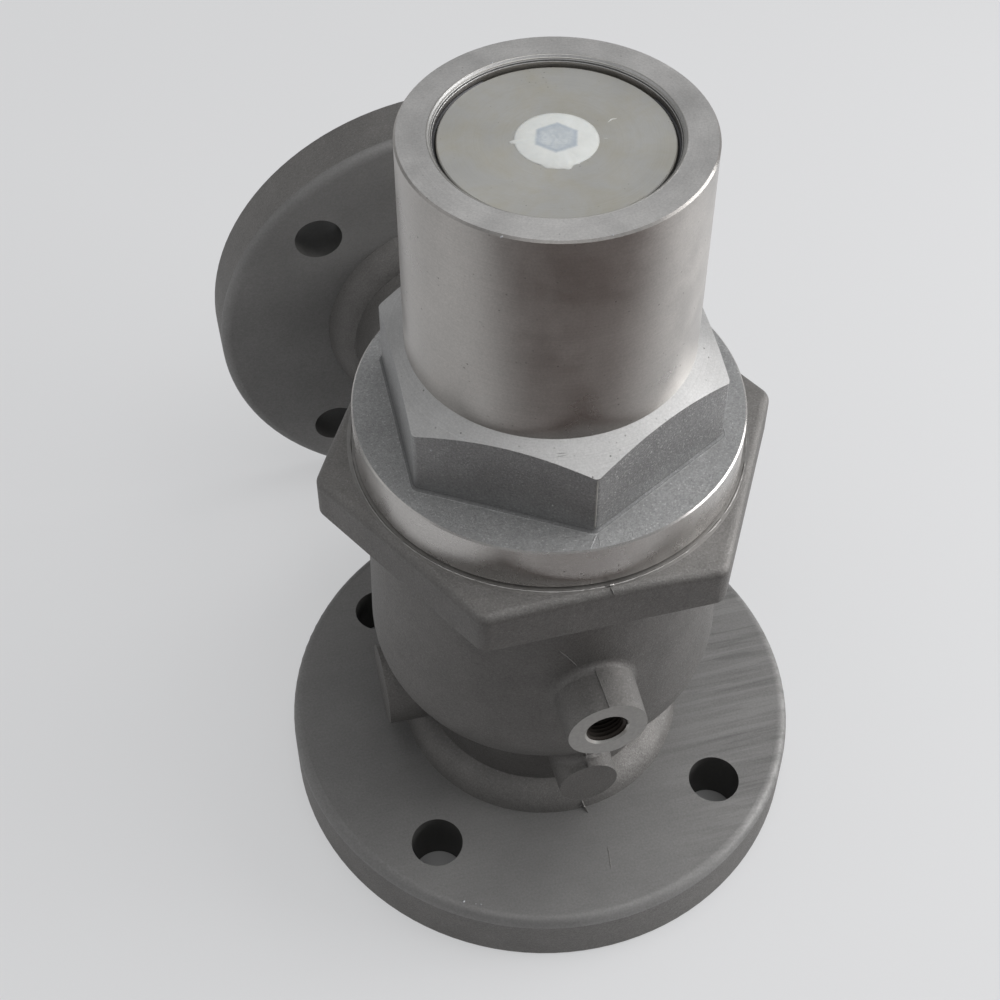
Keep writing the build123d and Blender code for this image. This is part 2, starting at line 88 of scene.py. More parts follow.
# Places and radii from the mounts; the port's mouth lies a little outside the mount's end
outlet_z = mounts["outlet_bolts"]["pos_m"][2]
bolt_way = mounts["inlet_bolts"]["dims"]["pcd_mm"] / 2 * MM * cos(pi / 4)
bolt_hole_radius = mounts["inlet_bolts"]["dims"]["hole_r_mm"] * MM
bore_radius = mounts["outlet_bore"]["dims"]["r_mm"] * MM
port = Vector(mounts["port_thread"]["pos_m"])
port_radius = mounts["port_thread"]["dims"]["r_mm"] * MM
port_depth = mounts["port_thread"]["dims"]["length_mm"] * MM
port_mouth_y = port.y - port_depth / 2 - 0.05 * MM


# Camera


def place_camera():
    """The photograph's own view, in an image of 1000 by 1000 pixels."""
    image = 1000
    place = Vector((-105.527, -347.699, 579.726)) * MM
    yaw, pitch, roll = 0.228, 0.794, -0.016162
    focal, centre_x, centre_y = 1728.06, 469.343, 342.743
    ahead = Vector((sin(yaw) * cos(pitch), cos(yaw) * cos(pitch), -sin(pitch)))
    level = Vector((cos(yaw), -sin(yaw), 0))
    above = level.cross(ahead)
    right = level * cos(roll) + above * sin(roll)
    up = above * cos(roll) - level * sin(roll)
    data = bpy.data.cameras.new("camera")
    data.sensor_width = 36
    data.lens = focal * data.sensor_width / image
    data.shift_x = (image / 2 - centre_x) / image
    data.shift_y = (centre_y - image / 2) / image
    data.clip_start = 0.01
    camera = bpy.data.objects.new("camera", data)
    axes = Matrix((right, up, -ahead)).transposed()
    camera.matrix_world = Matrix.Translation(place) @ axes.to_4x4()
    bpy.context.collection.objects.link(camera)
    bpy.context.scene.camera = camera


place_camera()


# Materials


class Shader:
    """A material being built: short calls that add nodes and link them."""

    def __init__(self, name):
        self.material = bpy.data.materials.new(name)
        self.material.use_nodes = True
        self.tree = self.material.node_tree
        self.surface = self.tree.nodes["Principled BSDF"]
        self.place = self.add("ShaderNodeTexCoord").outputs["Object"]

    def feed(self, socket, value):
        if isinstance(value, bpy.types.NodeSocket):
            self.tree.links.new(value, socket)
        else:
            socket.default_value = value

    def add(self, kind, inputs=None, **settings):
        node = self.tree.nodes.new(kind)
        for key, value in settings.items():
            setattr(node, key, value)
        for key, value in (inputs or {}).items():
            self.feed(node.inputs[key], value)
        return node

    def math(self, operation, first, second=0.0):
        return self.add("ShaderNodeMath", {0: first, 1: second}, operation=operation).outputs[0]

    def noise(self, scale, detail=3, rough=0.55, vector=None, distortion=0.0):
        inputs = {"Scale": scale, "Detail": detail, "Roughness": rough, "Distortion": distortion}
        node = self.add("ShaderNodeTexNoise", inputs)
        self.feed(node.inputs["Vector"], vector or self.place)
        return node.outputs["Fac"]

    def cells(self, scale, output="Distance"):
        return self.add("ShaderNodeTexVoronoi", {"Scale": scale, "Vector": self.place}).outputs[output]

    def remap(self, value, low, high, new_low=0.0, new_high=1.0):
        inputs = {"Value": value, "From Min": low, "From Max": high, "To Min": new_low, "To Max": new_high}
        return self.add("ShaderNodeMapRange", inputs, clamp=True).outputs["Result"]

    def mix(self, factor, first, second, blend="MIX"):
        node = self.add("ShaderNodeMix", data_type="RGBA", blend_type=blend)
        for index, value in ((0, factor), (6, first), (7, second)):
            self.feed(node.inputs[index], value)
        return node.outputs[2]

    def tint(self, colour, value, low, high):
        """The colour made darker and lighter by a factor that runs from low to high with the value."""
        factor = self.remap(value, 0.25, 0.75, low, high)
        shade = self.add("ShaderNodeCombineColor", {0: factor, 1: factor, 2: factor}).outputs[0]
        return self.mix(1.0, colour, shade, "MULTIPLY")

    def split(self, vector=None):
        return self.add("ShaderNodeSeparateXYZ", {0: vector or self.place}).outputs

    def join(self, x, y, z):
        return self.add("ShaderNodeCombineXYZ", {0: x, 1: y, 2: z}).outputs[0]

    def stretched(self, x, y, z):
        """The place scaled along the three axes."""
        return self.add("ShaderNodeMapping", {"Vector": self.place, "Scale": (x, y, z)}).outputs[0]

    def radius(self, x, y):
        """Distance from the Z axis."""
        return self.math("SQRT", self.math("ADD", self.math("MULTIPLY", x, x), self.math("MULTIPLY", y, y)))

    def polar(self, around, along, out):
        """Angle about Z, height and radius, each scaled, as a vector for a turned surface's marks."""
        x, y, z = self.split()
        angle = self.math("ARCTAN2", y, x)
        parts = ((angle, around), (z, along), (self.radius(x, y), out))
        return self.join(*(self.math("MULTIPLY", value, scale) for value, scale in parts))

    def bump(self, height, strength, distance, normal=None):
        inputs = {"Height": height, "Strength": strength, "Distance": distance}
        node = self.add("ShaderNodeBump", inputs)
        if normal:
            self.feed(node.inputs["Normal"], normal)
        return node.outputs[0]

    def finish(self, **values):
        for key, value in values.items():
            self.feed(self.surface.inputs[key.replace("_", " ")], value)
        return self.material


def grey(level, warm=0.0):
    """A grey of that linear level, warmer or cooler by a share."""
    return (level * (1 + warm), level, level * (1 - warm), 1)


def make_cast(name, level, warm, metal, grit=1.0, sparkle=1.0, rough=0.5, painted_top_light=(0.92, 1.22)):
    """Blasted casting: sandy grain and blotches, painted lighter on faces turned up, with painted glints
    there and on faces turned towards the lamps at +X.
    """
    s = Shader(name)
    blotch = s.noise(30, 4, 0.6)
    patch = s.noise(110, 3, 0.55)
    grain = s.noise(1500, 3, 0.75)
    fine = s.noise(3400, 2, 0.6)
    right, _, up = s.split(s.add("ShaderNodeNewGeometry").outputs["Normal"])
    # Painted glints: faces turned towards the lamps at +X or up get bright spots in their colour.
    lit = s.math("MAXIMUM", s.remap(right, -0.1, 0.6, 0.3, 1), s.remap(up, 0.4, 0.9))
    # Painted light: the colour is made lighter on faces turned up.
    colour = s.tint(grey(level, warm), s.remap(up, 0.25, 0.9, 0.25, 0.75), *painted_top_light)
    colour = s.tint(colour, blotch, 0.88, 1.13)
    colour = s.tint(colour, patch, 0.94, 1.07)
    colour = s.tint(colour, grain, 1 - 0.2 * grit, 1 + 0.22 * grit)
    # Painted glints: scattered cells painted bright where the grain is high, scaled by the facing above.
    glint_cells = s.split(s.cells(2700, output="Color"))[0]
    painted_glint = s.math("MULTIPLY", s.remap(glint_cells, 0.8, 1.0), s.remap(grain, 0.42, 0.62, 0, 0.3 * sparkle))
    painted_glint = s.math("MULTIPLY", painted_glint, lit)
    colour = s.mix(painted_glint, colour, grey(min(1, level * 2.8)))
    height = s.math("ADD", grain, s.math("MULTIPLY", fine, 0.5))
    coarse = s.bump(s.noise(230, 2, 0.5), 0.2, 1.0 * MM)
    normal = s.bump(height, 0.8, 0.22 * MM, coarse)
    gloss = s.remap(grain, 0.3, 0.7, rough + 0.12, rough)
    return s.finish(Base_Color=colour, Roughness=gloss, Metallic=metal, Normal=normal)


def make_turned(name, level, warm, rough, lines=5200, pores=0.5, streak=0.5, depth=0.03, drawn=0.65):
    """Surface turned about Z: fine rings, faint bands along the cut, open pores and gloss drawn out."""
    s = Shader(name)
    rings = s.noise(1.0, 2, 0.6, s.polar(0.6, lines, lines))
    bands = s.noise(1.0, 3, 0.6, s.polar(2.4, 25, 25))
    cloud = s.noise(60, 4, 0.6)
    grain = s.noise(1600, 3, 0.7)
    mask = s.remap(s.noise(160, 2, 0.5), 0.5, 0.62)
    pore = s.math("MULTIPLY", s.remap(s.cells(420), 0.16, 0.07), mask)
    colour = s.tint(grey(level, warm), bands, 1 - 0.16 * streak, 1 + 0.16 * streak)
    colour = s.tint(colour, cloud, 0.9, 1.1)
    colour = s.tint(colour, rings, 0.94, 1.06)
    colour = s.tint(colour, grain, 0.88, 1.13)
    colour = s.mix(s.math("MULTIPLY", pore, pores), colour, grey(level * 0.25, warm))
    height = s.math("ADD", rings, s.math("MULTIPLY", grain, 0.5))
    height = s.math("SUBTRACT", height, s.math("MULTIPLY", pore, 1.5))
    normal = s.bump(height, 0.3, depth * MM)
    gloss = s.remap(cloud, 0.3, 0.7, rough - 0.05, rough + 0.07)
    gloss = s.math("ADD", gloss, s.math("MULTIPLY", pore, 0.3))
    grooves = s.add("ShaderNodeTangent", direction_type="RADIAL", axis="Z").outputs[0]
    s.finish(Anisotropic=drawn, Anisotropic_Rotation=0.25, Tangent=grooves)
    return s.finish(Base_Color=colour, Roughness=gloss, Metallic=0.9, Normal=normal)


def make_ground(name, level):
    """Flange face skimmed across: faint long marks over the sandy skin, mostly on its +X part."""
    s = Shader(name)
    warm, rough = 0.02, 0.55
    fine = s.noise(1.0, 3, 0.65, s.stretched(60, 1900, 1900))
    wide = s.noise(1.0, 3, 0.6, s.stretched(16, 330, 330))
    cloud = s.noise(26, 3, 0.6)
    right_part = s.remap(s.split()[0], 28 * MM, 62 * MM, 0.12, 1)
    where = s.math("MULTIPLY", s.remap(s.noise(14, 2, 0.5), 0.42, 0.56), right_part)
    grain = s.noise(1300, 3, 0.7)
    colour = s.tint(grey(level, warm), cloud, 0.88, 1.12)
    colour = s.tint(colour, fine, 0.97, 1.03)
    colour = s.tint(colour, grain, 0.88, 1.13)
    marks = s.math("MULTIPLY", s.remap(wide, 0.52, 0.62), where)
    light = s.math("MULTIPLY", s.remap(wide, 0.45, 0.38), where)
    colour = s.mix(s.math("MULTIPLY", marks, 0.42), colour, grey(level * 0.55, warm))
    colour = s.mix(s.math("MULTIPLY", light, 0.35), colour, grey(level * 1.5, warm))
    height = s.math("ADD", s.math("MULTIPLY", fine, 0.4), grain)
    normal = s.bump(height, 0.4, 0.14 * MM)
    gloss = s.remap(grain, 0.3, 0.7, rough + 0.1, rough - 0.06)
    return s.finish(Base_Color=colour, Roughness=gloss, Metallic=0.4, Normal=normal)


def make_plain(name, colour, metallic, rough):
    """Plain finish with a fine grain and slight clouding."""
    s = Shader(name)
    cloud = s.noise(70, 4, 0.6)
    fine = s.noise(900, 3, 0.6)
    shade = s.tint(s.tint((*colour, 1), cloud, 0.88, 1.1), fine, 0.9, 1.1)
    normal = s.bump(fine, 0.2, 0.08 * MM)
    gloss = s.remap(cloud, 0.3, 0.7, rough - 0.04, rough + 0.06)
    return s.finish(Base_Color=shade, Roughness=gloss, Metallic=metallic, Normal=normal)


def make_cover(name):
    """Satin disc with yellowish stains and tiny pits."""
    s = Shader(name)
    rings = s.noise(1.0, 2, 0.6, s.polar(0.5, 3000, 3000))
    stain = s.noise(70, 5, 0.65, distortion=0.4)
    cloud = s.noise(28, 3, 0.6)
    pitted = s.remap(s.noise(130, 2, 0.5), 0.52, 0.6)
    spots = s.math("MULTIPLY", s.remap(s.cells(520), 0.14, 0.06), pitted)
    colour = s.mix(s.remap(stain, 0.42, 0.68), (0.60, 0.595, 0.57, 1), (0.545, 0.525, 0.46, 1))
    colour = s.tint(s.tint(colour, cloud, 0.9, 1.1), rings, 0.97, 1.03)
    colour = s.mix(s.math("MULTIPLY", spots, 0.55), colour, (0.12, 0.105, 0.08, 1))
    normal = s.bump(s.math("SUBTRACT", rings, spots), 0.2, 0.03 * MM)
    gloss = s.remap(stain, 0.3, 0.7, 0.42, 0.56)
    return s.finish(Base_Color=colour, Roughness=gloss, Metallic=0.75, Normal=normal)


def make_seal(name):
    """Milky poured seal; the screw's hexagon socket under it is painted on as a bluish shadow, darker along
    its edges.
    """
    s = Shader(name)
    socket_turn, socket_half = radians(16.8), 5.0 * MM
    turned = s.add("ShaderNodeMapping", {"Vector": s.place, "Rotation": (0, 0, socket_turn)})
    x, y, _ = s.split(turned.outputs[0])
    flats = []
    for step in range(3):
        turn = radians(60 * step)
        reach = s.math("ADD", s.math("MULTIPLY", x, cos(turn)), s.math("MULTIPLY", y, sin(turn)))
        flats.append(s.math("ABSOLUTE", reach))
    edge = s.math("MAXIMUM", flats[0], s.math("MAXIMUM", flats[1], flats[2]))
    wobble = s.math("MULTIPLY", s.math("SUBTRACT", s.noise(420, 2, 0.5), 0.5), 0.6 * MM)
    edge = s.math("ADD", edge, wobble)
    inside = s.remap(edge, socket_half + 0.9 * MM, socket_half)
    socket_edge_shadow = s.math("MULTIPLY", inside, s.remap(edge, socket_half - 1.4 * MM, socket_half))
    swirl = s.noise(300, 3, 0.6, distortion=1.5)
    clear = s.mix(s.remap(swirl, 0.45, 0.65), (0.50, 0.55, 0.60, 1), (0.64, 0.68, 0.71, 1))
    # Painted shadow of the socket: bluish grey inside the hexagon, darker along its edges.
    colour = s.mix(s.math("MULTIPLY", inside, 0.75), (0.84, 0.855, 0.83, 1), clear)
    colour = s.mix(s.math("MULTIPLY", socket_edge_shadow, 0.5), colour, (0.42, 0.48, 0.56, 1))
    colour = s.tint(colour, s.noise(260, 4, 0.6), 0.95, 1.04)
    normal = s.bump(s.noise(330, 4, 0.6), 0.25, 0.25 * MM)
    s.finish(Subsurface_Weight=0.3, Subsurface_Radius=(2.0, 2.2, 2.5), Subsurface_Scale=0.5 * MM)
    return s.finish(Base_Color=colour, Roughness=0.38, Normal=normal)


plain_finishes = {  # colour, metallic, roughness
    "machined": ((0.33, 0.32, 0.31), 0.85, 0.4),
    "bright_cut": ((0.46, 0.45, 0.43), 0.8, 0.4),
    # Painted shade for the bolt holes' walls; the same dark colour serves small dark marks.
    "hole_shade_and_dark_marks": ((0.10, 0.098, 0.094), 0.5, 0.5),
    # Painted shade for the port's threaded bore.
    "tapped_port_shade": ((0.042, 0.034, 0.028), 0.4, 0.55),
    "port_face": ((0.34, 0.332, 0.32), 0.7, 0.46),
    "spring_steel": ((0.12, 0.12, 0.125), 0.9, 0.38),
    "zinc_steel": ((0.55, 0.56, 0.58), 0.95, 0.3),
    "bush_bronze": ((0.55, 0.36, 0.16), 0.95, 0.34),
    "guide_plastic": ((0.24, 0.15, 0.09), 0.0, 0.5),
    "seal_rubber": ((0.022, 0.022, 0.023), 0.0, 0.55),
}
# Painted light: the bonnet's castings are painted only slightly lighter on faces turned up.
bonnet_painted_top_light = (0.95, 1.0)
cast_finishes = {
    "casting": dict(level=0.168, warm=0.04, metal=0.6),
    "hex_casting": dict(level=0.31, warm=0, metal=0.8, grit=1.2, sparkle=2.6, rough=0.45, painted_top_light=bonnet_painted_top_light),
    # Painted shade: a darker copy of the hexagon's casting, for the crease at its foot on the ring top.
    "hex_root_shade": dict(level=0.19, warm=0, metal=0.6, painted_top_light=bonnet_painted_top_light),
    "ring_casting": dict(level=0.38, warm=0, metal=0.7, grit=1.2, sparkle=1.3, rough=0.48, painted_top_light=bonnet_painted_top_light),
}
turned_finishes = {
    "turned": dict(level=0.42, warm=0.045, rough=0.31, streak=0.35),
    "ring_turned": dict(level=0.5, warm=0.035, rough=0.27, streak=0.4),
    "bright_turned": dict(
        level=0.56, warm=0.01, rough=0.52, lines=2600, pores=0.6, streak=0.4, depth=0.08, drawn=0
    ),
    "top_turned": dict(level=0.62, warm=0.02, rough=0.46, lines=4200, pores=0.35, streak=0.25, drawn=0),
    "disc_steel": dict(level=0.5, warm=0.0, rough=0.3),
    "piston_alloy": dict(level=0.62, warm=0.0, rough=0.32),
}
MATERIALS = {
    **{name: make_cast(name, **look) for name, look in cast_finishes.items()},
    **{name: make_turned(name, **look) for name, look in turned_finishes.items()},
    **{name: make_plain(name, *look) for name, look in plain_finishes.items()},
    "ground": make_ground("ground", 0.235),
    "cover": make_cover("cover"),
    "poured_seal": make_seal("poured_seal"),
}


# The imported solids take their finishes


sharp_angle = radians(22)


def dress(name, pick):
    """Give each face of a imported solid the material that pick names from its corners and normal."""
    mesh = nodes[name].data
    used = []
    mesh.materials.clear()
    if "custom_normal" in mesh.attributes:
        mesh.attributes.remove(mesh.attributes["custom_normal"])
    mesh.polygons.foreach_set("use_smooth", [True] * len(mesh.polygons))
    mesh.set_sharp_from_angle(angle=sharp_angle)
    for face in mesh.polygons:
        chosen = pick([mesh.vertices[index].co for index in face.vertices], face.normal)
        if chosen not in used:
            used.append(chosen)
            mesh.materials.append(MATERIALS[chosen])
        face.material_index = used.index(chosen)


def spans(values, low, high):
    """Tell whether all the values lie from low to high, give or take a little."""
    near = 0.06 * MM
    return min(values) > low - near and max(values) < high + near


def pick_body(points, normal):
    """Cast skin everywhere except on what the real valve has machined."""
    heights = [p.z for p in points]
    depths = [p.y for p in points]
    radii = [hypot(p.x, p.y) for p in points]
    outlet_radii = [hypot(p.x, p.z - outlet_z) for p in points]
    port_radii = [hypot(p.x, p.z - port.z) for p in points]
    inlet_bolt_radii = [hypot(abs(p.x) - bolt_way, abs(p.y) - bolt_way) for p in points]
    outlet_bolt_radii = [hypot(abs(p.x) - bolt_way, abs(p.z - outlet_z) - bolt_way) for p in points]
    drill_depth, chamfer_depth, chamfer_width = 30 * MM, 3 * MM, 1.2 * MM
    in_bolt_hole = bolt_hole_radius + 0.1 * MM
    in_bore = bore_radius + 0.5 * MM
    on_rim = flange_radius - flange_edge_round - 0.5 * MM
    if spans(heights, flange_top_z, flange_top_z) and min(radii) > flare_radius - MM:
        return "ground"
    if spans(depths, outlet_back_y, outlet_back_y) and min(outlet_radii) > flare_radius - MM:
        return "ground"
    if spans(heights, 0, 0) or spans(depths, outlet_y, outlet_y) or spans(heights, seat_z, seat_z):
        return "machined"
    off_port = max(port_radii) - port_radius
    # Painted shade: the port's threaded bore is coloured nearly black.
    if spans(depths, port_mouth_y, port_mouth_y + drill_depth) and off_port < 0.05 * MM:
        return "tapped_port_shade"
    if spans(depths, port_mouth_y, port_mouth_y + chamfer_depth) and off_port < chamfer_width:
        return "bright_cut"
    if spans(depths, port_mouth_y, port_mouth_y):
        return "port_face"
    # Painted shade: the bolt holes' walls are coloured dark.
    if max(inlet_bolt_radii) < in_bolt_hole and spans(heights, 0, flange_top_z):
        return "hole_shade_and_dark_marks"
    if max(outlet_bolt_radii) < in_bolt_hole and spans(depths, outlet_back_y, outlet_y):
        return "hole_shade_and_dark_marks"
    if spans(heights, flange_top_z - flange_edge_round, flange_top_z) and min(radii) > on_rim:
        return "ground"
    if spans(depths, outlet_back_y, outlet_back_y + flange_edge_round) and min(outlet_radii) > on_rim:
        return "ground"
    inward = sum(p.x * normal.x + p.y * normal.y for p in points) < 0
    if inward and max(radii) < in_bore and max(heights) < inlet_seat_z + MM:
        return "machined"
    if max(outlet_radii) < in_bore and min(depths) > 30 * MM:
        return "machined"
    return "casting"


def pick_bonnet(points, normal):
    """Cast hexagon and ring top, with painted shade in the crease between them; everything else is turned.
    """
    heights = [p.z for p in points]
    radii = [hypot(p.x, p.y) for p in points]
    cone = [z + (radius - bonnet_radius) * tan(hex_slope) for z, radius in zip(heights, radii)]
    mouth_radius, mouth_depth, root_height = 36 * MM, 2 * MM, 1.2 * MM
    if spans(heights, bonnet_top_z, bonnet_top_z):
        return "top_turned"
    if max(radii) < mouth_radius and min(heights) > bonnet_top_z - mouth_depth:
        return "bright_turned"
    if spans(cone, shoulder_z, shoulder_z) and min(radii) > bonnet_radius - 0.1 * MM:
        return "bright_turned"
    if spans(heights, ring_top_z, ring_top_z):
        return "ring_casting"
    if spans(heights, seat_z, ring_top_z) and min(radii) > ring_radius - 0.6 * MM:
        return "ring_turned"
    # Painted shade: the crease at the hexagon's foot takes a darker copy of its casting.
    in_root = spans(heights, ring_top_z, ring_top_z + root_height) and abs(normal.z) > 0.1
    if in_root and max(radii) < ring_radius - MM:
        return "hex_root_shade"
    if spans(heights, ring_top_z, shoulder_z) and min(radii) > bonnet_radius + 0.1 * MM:
        return "hex_casting"
    return "turned"


dress("valve_body", pick_body)
dress("bonnet", pick_bonnet)
for name, material in (
    ("spring_cover", "cover"),
    ("retaining_ring", "spring_steel"),
    ("adjusting_screw", "zinc_steel"),
    ("bonnet_o_ring", "seal_rubber"),
    ("spring_plate", "disc_steel"),
    ("piston", "piston_alloy"),
    ("piston_seal", "seal_rubber"),
    ("upper_guide_ring", "guide_plastic"),
    ("lower_guide_ring", "guide_plastic"),
    ("stem_bush", "bush_bronze"),
    ("check_disc", "disc_steel"),
    ("seat_seal", "seal_rubber"),
    ("seal_plate", "disc_steel"),
    ("lock_washer", "zinc_steel"),
    ("seal_bolt", "zinc_steel"),
    ("stem_circlip", "spring_steel"),
    ("main_spring", "spring_steel"),
    ("check_spring", "spring_steel"),
):
    dress(name, lambda points, normal, material=material: material)


# Pieces of the scene


def add_piece(name, verts, faces, material, body="housing", smooth=True):
    """A mesh that rides on a body and takes a slot's finish."""
    mesh = bpy.data.meshes.new(name)
    mesh.from_pydata(verts, [], faces)
    mesh.validate()
    work = bmesh.new()
    work.from_mesh(mesh)
    bmesh.ops.recalc_face_normals(work, faces=work.faces)
    work.to_mesh(mesh)
    work.free()
    mesh.polygons.foreach_set("use_smooth", [smooth] * len(mesh.polygons))
    mesh.materials.append(MATERIALS[material])
    piece = bpy.data.objects.new(name, mesh)
    bpy.context.collection.objects.link(piece)
    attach(piece, body)
    return piece


def grid_faces(rows, columns, closed_rows=False, closed_columns=False):
    """Quads of a grid of vertices laid out row by row."""
    faces = []
    for row in range(rows if closed_rows else rows - 1):
        here, after = row * columns, (row + 1) % rows * columns
        for column in range(columns if closed_columns else columns - 1):
            beside = (column + 1) % columns
            faces.append((here + column, here + beside, after + beside, after + column))
    return faces


def make_poured_seal():
    """The tamper seal: a shallow pool that stands a little proud, with a ragged overflow at the front."""
    low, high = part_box("sealing_plug")
    radius = high.x
    cover_z = high.z - plug_proud
    around, rings = 180, 26
    tabs = (  # direction and half width in degrees, and reach over the cover
        (171, 4.5, 1.5 * MM),
        (-104, 27, 0.9 * MM),
        (-91, 7, 0.8 * MM),
        (-119, 6, 0.4 * MM),
        (-76, 4, 0.3 * MM),
    )
    verts = []
    for ring in range(rings + 1):
        share = ring / rings
        for step in range(around):
            angle = tau * step / around
            way = Vector((cos(angle), sin(angle), 0))
            ragged = 0.08 * MM * noise.noise(way * 4) + 0.06 * MM * noise.noise(way * 19)
            for middle, width, reach in tabs:
                gap = angle_between(angle, radians(middle)) / radians(width)
                ragged += reach * max(0, 1 - gap * gap) ** 1.5
            spread = radius + 0.25 * MM + ragged
            place = way * spread * share
            crown = 0.75 * MM * (1 - share**4)
            dimple = 0.10 * MM * noise.noise(place * 260) + 0.05 * MM * noise.noise(place * 900)
            verts.append((place.x, place.y, cover_z + 0.02 * MM + crown + dimple * (1 - share**8)))
    verts += [(x, y, cover_z + 0.005 * MM) for x, y, _ in verts[-around:]]
    for level in (cover_z, low.z):
        for step in range(around):
            angle = tau * step / around
            verts.append((radius * cos(angle), radius * sin(angle), level))
    faces = grid_faces(rings + 4, around, closed_columns=True)
    faces.append(tuple(range(len(verts) - around, len(verts))))
    piece = add_piece("poured_seal", verts, faces, "poured_seal")
    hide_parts("sealing_plug")


def angle_between(first, second):
    """Smallest angle between two directions, in radians."""
    gap = (first - second) % tau
    return min(gap, tau - gap)


def make_spring(name, node, body, mean_radius, wire, turns, first=0.0, last=1.0):
    """Round wire spring, or the stretch of it from the share first to last, in place of a plain solid."""
    low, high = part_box(node)
    sides, steps = 14, 40
    verts = []
    rows = int(turns * steps * (last - first)) + 1
    for row in range(rows):
        share = first + (last - first) * row / (rows - 1)
        angle = tau * turns * share
        height = low.z + wire + (high.z - low.z - 2 * wire) * share
        centre = Vector((mean_radius * cos(angle), mean_radius * sin(angle), height))
        out = Vector((cos(angle), sin(angle), 0))
        for side in range(sides):
            turn = tau * side / sides
            verts.append(tuple(centre + out * wire * cos(turn) + Vector((0, 0, wire * sin(turn)))))
    faces = grid_faces(rows, sides, closed_columns=True)
    faces.append(tuple(range(sides)))
    faces.append(tuple(range(len(verts) - sides, len(verts))))
    piece = add_piece(name, verts, faces, "spring_steel", body)
    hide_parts(node)
    return piece


def make_main_spring():
    """The main spring in two halves that meet at the middle, both riding on the housing."""
    for name, first, last, joint in (
        ("main_coil_lower", 0.0, 0.5, "piston_lift"),
        ("main_coil_upper", 0.5, 1.0, "adjuster_travel"),
    ):
        piece = make_spring(name, "main_spring", "housing", **main_coil, first=first, last=last)
        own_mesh(piece)


def make_port_thread():
    """The thread of the port: a helical ridge standing in from the bore's wall, coloured in the bore's
    painted shade.
    """
    depth, pitch, length, lead_in = 0.85 * MM, 1.337 * MM, 13.5 * MM, 0.75 * MM
    root_half, crest_half = 0.45, 0.08  # shares of the pitch
    steps, verts = 64, []
    rows = int(steps * length / pitch)
    start = port_mouth_y + lead_in
    sunk = port_radius + 0.02 * MM
    for row in range(rows):
        angle = tau * row / steps
        along = start + pitch * row / steps
        crest = port_radius - depth * min(1, 0.05 + row / steps, 0.05 + (rows - 1 - row) / steps)
        section = ((sunk, -root_half), (crest, -crest_half), (crest, crest_half), (sunk, root_half))
        for radius, shift in section:
            verts.append((radius * cos(angle), along + shift * pitch, port.z + radius * sin(angle)))
    faces = grid_faces(rows, 4, closed_columns=True)
    faces.append((0, 1, 2, 3))
    faces.append(tuple(range(len(verts) - 4, len(verts))))
    add_piece("port_thread", verts, faces, "tapped_port_shade", smooth=False)


make_poured_seal()
make_port_thread()
make_main_spring()
make_spring("check_coil_spring", "check_spring", "piston", **check_coil)


# Marks of casting, turning and handling


def skin_of(name):
    """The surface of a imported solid, to set small marks on."""
    mesh = nodes[name].data
    return BVHTree.FromPolygons([v.co for v in mesh.vertices], [p.vertices[:] for p in mesh.polygons])


body_skin = skin_of("valve_body")
bonnet_skin = skin_of("bonnet")
cover_skin = skin_of("spring_cover")


def make_ridge(name, skin, path, width, height, material):
    """A thin raised line along a path laid on a surface; path, width and height are in millimetres."""
    spacing, sunk = 0.5, -0.06 * MM
    points = []
    for start, end in zip(path, path[1:]):
        start, end = Vector(start), Vector(end)
        count = max(2, int((end - start).length / spacing))
        points += [start.lerp(end, index / count) for index in range(count)]
    points.append(Vector(path[-1]))
    places = [skin.find_nearest(point * MM) for point in points]
    verts = []
    for row, (place, normal, *_) in enumerate(places):
        before, after = places[max(0, row - 1)][0], places[min(len(places) - 1, row + 1)][0]
        along = (after - before).normalized()
        side = normal.cross(along).normalized()
        taper = min(1, 0.25 + row / 3, 0.25 + (len(places) - 1 - row) / 3)
        uneven = 1 + 0.35 * noise.noise(place * 900)
        half, rise = width / 2 * MM * taper * uneven, height * MM * taper * uneven
        section = ((-1, sunk), (-0.5, rise * 0.75), (0.1, rise), (0.6, rise * 0.6), (1, sunk))
        for across, up in section:
            verts.append(tuple(place + side * half * across + normal * up))
    columns = len(section)
    faces = grid_faces(len(places), columns)
    faces.append(tuple(range(columns)))
    faces.append(tuple(range(len(verts) - columns, len(verts))))
    for first in range(0, len(verts) - columns, columns):
        after = first + columns
        faces.append((first, after, after + columns - 1, first + columns - 1))
    return add_piece(name, verts, faces, material, smooth=False)


def make_specks(name, skin, spots, material, seed):
    """Small low lumps on a surface; each spot is a place, a radius and a height in millimetres."""
    random.seed(seed)
    corners, sunk = 7, 0.05 * MM
    verts, faces = [], []
    for place, radius, height in spots:
        place, normal, *_ = skin.find_nearest(Vector(place) * MM)
        side = normal.orthogonal().normalized()
        other = normal.cross(side)
        first = len(verts)
        for up, share in ((-sunk, 1.0), (0.6 * height * MM, 0.7)):
            for corner in range(corners):
                angle = tau * (corner + 0.3 * random.random()) / corners
                reach = radius * MM * share * random.uniform(0.75, 1.2)
                verts.append(tuple(place + (side * cos(angle) + other * sin(angle)) * reach + normal * up))
        verts.append(tuple(place + normal * height * MM))
        verts.append(tuple(place - normal * sunk))
        upper = first + corners
        top, bottom = upper + corners, upper + corners + 1
        for corner in range(corners):
            beside = (corner + 1) % corners
            faces.append((first + corner, first + beside, upper + beside, upper + corner))
            faces.append((upper + corner, upper + beside, top))
            faces.append((first + beside, first + corner, bottom))
    return add_piece(name, verts, faces, material, smooth=False)


